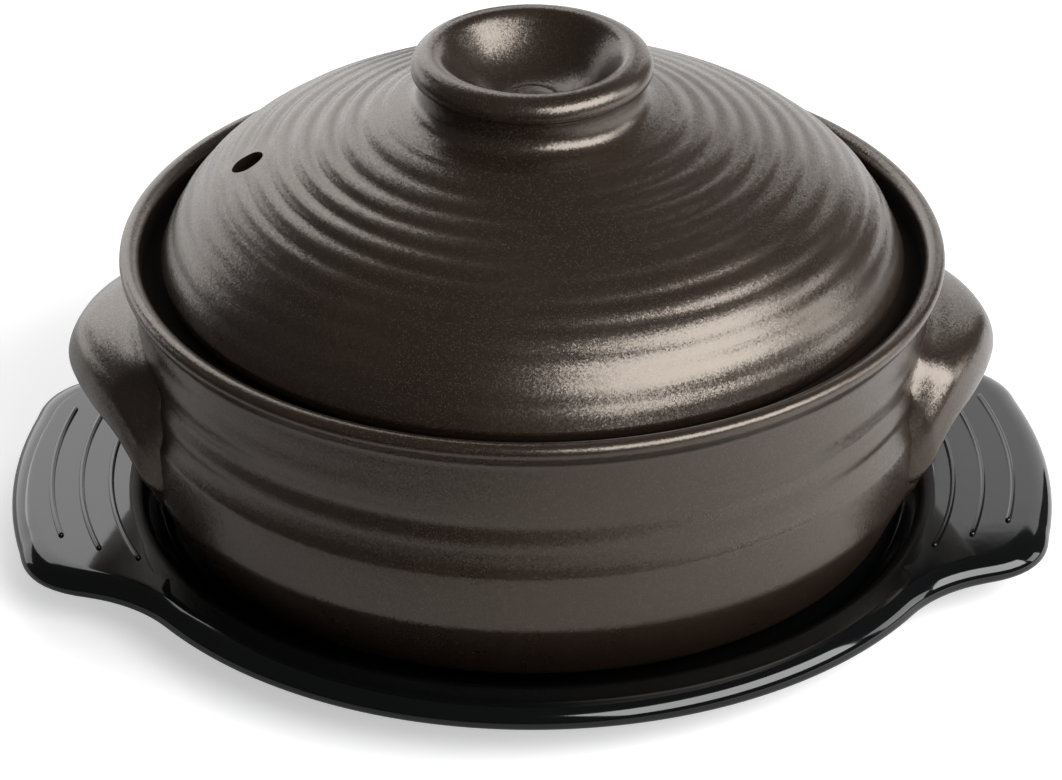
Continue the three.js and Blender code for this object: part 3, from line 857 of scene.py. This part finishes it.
def tray_outline(inset):
    """Reach of the dish and its two tabs, `inset` inside the edge, at even turns about the axis."""
    radius = TRAY_RADIUS - inset
    reach = TAB_REACH - inset
    corner = np.array((reach - TAB_BOW, TAB_HALF_WIDTH - inset))
    root = math.radians(TAB_ROOT)
    start = radius * np.array((math.cos(root), math.sin(root)))
    ease = start + TAB_EASE * np.array((math.sin(root), -math.cos(root)))
    side = (corner - ease) / np.linalg.norm(corner - ease)
    side_end = corner - TAB_ROUND * side
    end = np.array((corner[0] + (reach - corner[0]) * TAB_ROUND / corner[1], corner[1] - TAB_ROUND))
    quarter = np.vstack([
        [radius * np.array((math.cos(a), math.sin(a))) for a in np.linspace(math.pi / 2, root, 80)],
        quadratic(start, ease, side_end, 40),
        quadratic(side_end, corner, end, 40),
        quadratic(end, (2 * reach - end[0], 0), end * (1, -1), 80)[:40],
    ])
    turns = np.arctan2(quarter[:, 1], quarter[:, 0])
    lengths = np.linalg.norm(quarter, axis=1)
    order = np.argsort(turns)
    angles = np.arange(TRAY_POINTS) * math.tau / TRAY_POINTS
    folded = np.arcsin(np.abs(np.sin(angles)))
    return np.interp(folded, turns[order], lengths[order])


def reach_at(reaches, turn):
    """The reach for a turn about the axis, in metres."""
    return reaches[round(turn / math.tau * TRAY_POINTS) % TRAY_POINTS] * MM


def shape_loop(reaches, height):
    """Moves the selected loop to a reach for each turn about the axis, and to a height."""
    mesh = bpy.context.object.data
    edit = bmesh.from_edit_mesh(mesh)
    for vertex in edit.verts:
        if vertex.select:
            turn = math.atan2(vertex.co.y, vertex.co.x)
            reach = reach_at(reaches, turn)
            vertex.co = (reach * math.cos(turn), reach * math.sin(turn), height * MM)
    bmesh.update_edit_mesh(mesh)


def tray_loops(edge_round):
    """The tray's loops from the middle of its underside, round its edge, and into the well."""
    inner = tray_outline(TRAY_SKIN)
    rings = [*FOOT_RINGS, *bezier(UNDER_CURVE, 1.2), (TRAY_WELL_RIM, TRAY_CREST - TRAY_SKIN)]
    loops = [(np.full(TRAY_POINTS, radius), height) for radius, height in rings]
    loops += [(inner, TRAY_CREST - TRAY_SKIN), (inner, TRAY_EDGE_BOTTOM)]
    for turn in np.radians(np.linspace(-90, 0, 6)):
        inset, lift = EDGE_UNDER * (1 - math.cos(turn)), EDGE_UNDER * (1 + math.sin(turn))
        loops.append((tray_outline(inset), TRAY_EDGE_BOTTOM + lift))
    rise = TRAY_CREST - TRAY_EDGE_BOTTOM - EDGE_UNDER
    for turn in np.radians(np.linspace(0, 90, 13))[1:]:
        inset, drop = edge_round * (1 - math.cos(turn)), rise * (1 - math.sin(turn))
        loops.append((tray_outline(inset), TRAY_CREST - drop))
    well = [*bezier(WELL_CURVE, 0.5), (76.0, TRAY_FLOOR), (40.0, TRAY_FLOOR)]
    return loops + [(np.full(TRAY_POINTS, radius), height) for radius, height in well]


def select_loop(reaches, height):
    """Selects the edges whose two ends lie at the reach for their turn, and at the height."""
    mesh = bpy.context.object.data
    edit = bmesh.from_edit_mesh(mesh)
    bpy.ops.mesh.select_mode(type="EDGE")
    bpy.ops.mesh.select_all(action="DESELECT")

    def fits(vertex):
        reach = reach_at(reaches, math.atan2(vertex.co.y, vertex.co.x))
        level = abs(vertex.co.z - height * MM) < MERGE
        return level and abs(math.hypot(vertex.co.x, vertex.co.y) - reach) < 10 * MERGE

    for edge in edit.edges:
        edge.select_set(all(fits(vertex) for vertex in edge.verts))
    bmesh.update_edit_mesh(mesh)


def tray_shell(edge_round):
    """The tray's shell, extruded loop by loop, with its outer edge rounded."""
    bpy.ops.object.select_all(action="DESELECT")
    bpy.ops.mesh.primitive_circle_add(vertices=TRAY_POINTS, radius=FOOT_RINGS[0][0] * MM, fill_type="NGON")
    piece = name_new("tray_moulding")
    bpy.ops.object.mode_set(mode="EDIT")
    bpy.ops.mesh.select_mode(type="EDGE")
    bpy.ops.mesh.select_all(action="SELECT")
    bpy.ops.transform.rotate(value=math.pi / 2, orient_axis="Z", center_override=(0, 0, 0))
    loops = tray_loops(edge_round / MM)
    shape_loop(*loops[0])
    bpy.ops.mesh.delete(type="ONLY_FACE")
    bpy.ops.mesh.select_all(action="SELECT")
    for reaches, height in loops[1:]:
        bpy.ops.mesh.extrude_edges_move()
        shape_loop(reaches, height)
    bpy.ops.mesh.edge_face_add()
    select_loop(*loops[0])
    bpy.ops.mesh.edge_face_add()
    close_up()
    bpy.ops.mesh.select_mode(type="VERT")
    bpy.ops.object.mode_set(mode="OBJECT")
    return piece


def rib_bar(radius, half_angle, heading, width, height):
    """One half-round grip rib, swept along its arc and rounded off at both ends."""
    piece = start_line("grip_rib")
    crest = TRAY_CREST * MM
    draw_line([(radius + width / 2 * math.cos(a), 0.0, crest + height * math.sin(a)) for a in RIB_SECTION])
    tip = width / 2 / radius
    bpy.ops.mesh.select_all(action="SELECT")
    bpy.ops.transform.rotate(value=-half_angle - heading, orient_axis="Z", center_override=(0, 0, 0))
    for steps, angle in ((RIB_TIP_STEPS, tip), (RIB_STEPS, 2 * half_angle - 2 * tip), (RIB_TIP_STEPS, tip)):
        bpy.ops.mesh.spin(steps=steps, angle=angle, center=(0, 0, 0), axis=(0, 0, 1))
    bpy.ops.object.mode_set(mode="OBJECT")
    spots = places(piece)
    turn = np.arctan2(spots[:, 1], spots[:, 0]) - heading
    turn = (turn + math.pi) % math.tau - math.pi
    left = np.clip((half_angle - np.abs(turn)) / tip, 0, 1)
    slim = np.sqrt(1 - (1 - left) ** 2)
    reach = np.hypot(spots[:, 0], spots[:, 1])
    spots[:, :2] *= ((radius + (reach - radius) * slim) / reach)[:, None]
    spots[:, 2] = crest + (spots[:, 2] - crest) * slim
    set_places(piece, spots)
    bpy.ops.object.mode_set(mode="EDIT")
    close_up()
    bpy.ops.object.mode_set(mode="OBJECT")
    return piece


def add_ribs(piece, height):
    """Joins three grip ribs on each tab to the tray."""
    bars = []
    for heading in (0, math.pi):
        for radius, half_angle in RIB_ARCS:
            bars.append(rib_bar(radius * MM, math.radians(half_angle), heading, RIB_WIDTH * MM, height))
    pick(piece, *bars)
    bpy.ops.object.join()


class EARTHENWARE_OT_tray(bpy.types.Operator):
    """Builds the moulded tray with its well, grip tabs, ribs and foot."""

    bl_idname = "earthenware.tray"
    bl_label = "Serving tray"

    def execute(self, context):
        settings = context.scene.earthenware
        piece = tray_shell(settings.tray.edge_round)
        add_ribs(piece, settings.tray.rib_height)
        finish_piece(piece, "tray", "melamine", moulding_finish(settings.tray), "serving_tray")
        return {"FINISHED"}


# Stage

def stage_floor():
    """A pale floor that keeps the shadow, white to the camera and dimmer in reflections at the front."""
    bpy.ops.object.select_all(action="DESELECT")
    bpy.ops.mesh.primitive_plane_add(size=FLOOR_SIZE, location=(0, 0, -FLOOR_DROP))
    floor = bpy.context.object
    floor.name = "floor"
    finish, add = new_finish("pale_floor")
    path = add("ShaderNodeLightPath")
    to_camera = path.outputs["Is Camera Ray"]
    place = add("ShaderNodeTexCoord").outputs["Object"]
    spot = add("ShaderNodeSeparateXYZ", i0=place)
    behind = add("ShaderNodeMath", {"operation": "MULTIPLY_ADD"},
                 i0=spot.outputs["Y"], i1=FLOOR_SLANT, i2=spot.outputs["X"])
    side = ramp(add, behind.outputs[0], *FLOOR_SIDE)
    front = ramp(add, behind.outputs[0], *FLOOR_FRONT)
    sheen = add("ShaderNodeMath", {"operation": "MULTIPLY"}, i0=side, i1=front)
    pale = ramp(add, to_camera, 0, 1, *FLOOR_PALE)
    tone = add("ShaderNodeMix", {"data_type": "FLOAT"}, i0=path.outputs["Is Glossy Ray"],
               i2=pale, i3=sheen.outputs[0])
    paint = add("ShaderNodeCombineColor", i0=tone.outputs[0], i1=tone.outputs[0], i2=tone.outputs[0])
    seen = add("ShaderNodeMath", {"operation": "MAXIMUM"}, i0=to_camera, i1=path.outputs["Is Transmission Ray"])
    away = add("ShaderNodeVectorMath", {"operation": "LENGTH"}, i0=place)
    fill = ramp(add, away.outputs["Value"], *FLOOR_GLOW)
    glow = add("ShaderNodeMath", {"operation": "MULTIPLY"}, i0=seen.outputs[0], i1=fill)
    light = add("ShaderNodeEmission", Color=(1, 1, 1, 1), Strength=glow.outputs[0])
    matt = add("ShaderNodeBsdfDiffuse", Color=paint.outputs[0])
    both = add("ShaderNodeAddShader", i0=light.outputs[0], i1=matt.outputs[0])
    add("ShaderNodeOutputMaterial", Surface=both.outputs[0])
    floor.data.materials.append(finish)


def stage_world():
    """A dim room that shows white to the camera."""
    world = bpy.data.worlds.new("studio")
    bpy.context.scene.world = world
    world.use_nodes = True
    tree = world.node_tree
    tree.nodes.clear()
    add = adder(tree)
    lit = add("ShaderNodeBackground", Color=(1, 1, 1, 1), Strength=ROOM_GLOW)
    white = add("ShaderNodeBackground", Color=(1, 1, 1, 1), Strength=1.0)
    path = add("ShaderNodeLightPath")
    pick = add("ShaderNodeMixShader", i0=path.outputs["Is Camera Ray"], i1=lit.outputs[0], i2=white.outputs[0])
    add("ShaderNodeOutputWorld", Surface=pick.outputs[0])


def heading(turn, rise):
    """The way from the middle at a turn from the front towards the right, and a rise."""
    return Vector((math.sin(turn) * math.cos(rise), -math.cos(turn) * math.cos(rise), math.sin(rise)))


def soft_box(name, turn, rise, distance, width, depth, glow, mirrored):
    """A soft box that faces the pot from a turn and a rise in degrees."""
    bpy.ops.object.select_all(action="DESELECT")
    middle = Vector((0, 0, LIGHT_TARGET * MM))
    place = middle + heading(math.radians(turn), math.radians(rise)).normalized() * distance
    bpy.ops.object.light_add(type="AREA", location=place)
    box = bpy.context.object
    box.name = name
    box.rotation_euler = (middle - place).to_track_quat("-Z", "Y").to_euler()
    box.data.shape = "RECTANGLE"
    box.data.size = width
    box.data.size_y = depth
    box.data.energy = glow * math.pi * width * depth
    box.visible_glossy = mirrored


def stage_camera(settings):
    """The camera at the photograph's place, lens and framing."""
    target = Vector((0, 0, settings.target_height))
    way = heading(settings.camera_azimuth, settings.camera_elevation)
    bpy.ops.object.camera_add(location=target + settings.camera_distance * way)
    camera = bpy.context.object
    camera.rotation_euler = (-way).to_track_quat("-Z", "Y").to_euler()
    camera.data.sensor_width = SENSOR
    camera.data.lens = FOCAL_PIXELS / PHOTO_WIDTH * SENSOR
    camera.data.shift_x = -AXIS_PIXEL_OFFSET / PHOTO_WIDTH
    bpy.context.scene.camera = camera


class EARTHENWARE_OT_stage(bpy.types.Operator):
    """Sets the floor, the surroundings, the soft light and the camera."""

    bl_idname = "earthenware.stage"
    bl_label = "Stage"

    def execute(self, context):
        settings = context.scene.earthenware.stage
        stage_floor()
        stage_world()
        for name, (glow, *place, mirrored) in SOFT_BOXES.items():
            soft_box(name, *place, getattr(settings, glow), mirrored)
        stage_camera(settings)
        context.scene.view_settings.view_transform = "Standard"
        return {"FINISHED"}


class EARTHENWARE_PT_panel(bpy.types.Panel):
    """The pieces of the pot and the tray, and their settings."""

    bl_idname = "EARTHENWARE_PT_panel"
    bl_label = "Earthenware"
    bl_space_type = "VIEW_3D"
    bl_region_type = "UI"
    bl_category = "Earthenware"

    def draw(self, context):
        settings = context.scene.earthenware
        for operator in OPERATORS:
            self.layout.operator(operator.bl_idname)
        for group in (settings.glaze, settings.pot, settings.lid, settings.tray, settings.stage):
            box = self.layout.box()
            for key in group.__annotations__:
                box.prop(group, key)


OPERATORS = (EARTHENWARE_OT_tray, EARTHENWARE_OT_pot, EARTHENWARE_OT_lugs, EARTHENWARE_OT_lid,
             EARTHENWARE_OT_knob, EARTHENWARE_OT_stage)
CLASSES = (GlazeSettings, PotSettings, LidSettings, TraySettings, StageSettings, EarthenwareSettings,
           *OPERATORS, EARTHENWARE_PT_panel)


def register():
    """Registers the classes and the scene's settings."""
    for kind in CLASSES:
        bpy.utils.register_class(kind)
    bpy.types.Scene.earthenware = bpy.props.PointerProperty(type=EarthenwareSettings)


def unregister():
    """Removes the scene's settings and the classes."""
    del bpy.types.Scene.earthenware
    for kind in reversed(CLASSES):
        bpy.utils.unregister_class(kind)


def main():
    """Makes every piece and the stage."""
    register()
    bpy.ops.earthenware.tray()
    bpy.ops.earthenware.pot()
    bpy.ops.earthenware.lugs()
    bpy.ops.earthenware.lid()
    bpy.ops.earthenware.knob()
    bpy.ops.earthenware.stage()


if __name__ == "__main__":
    main()
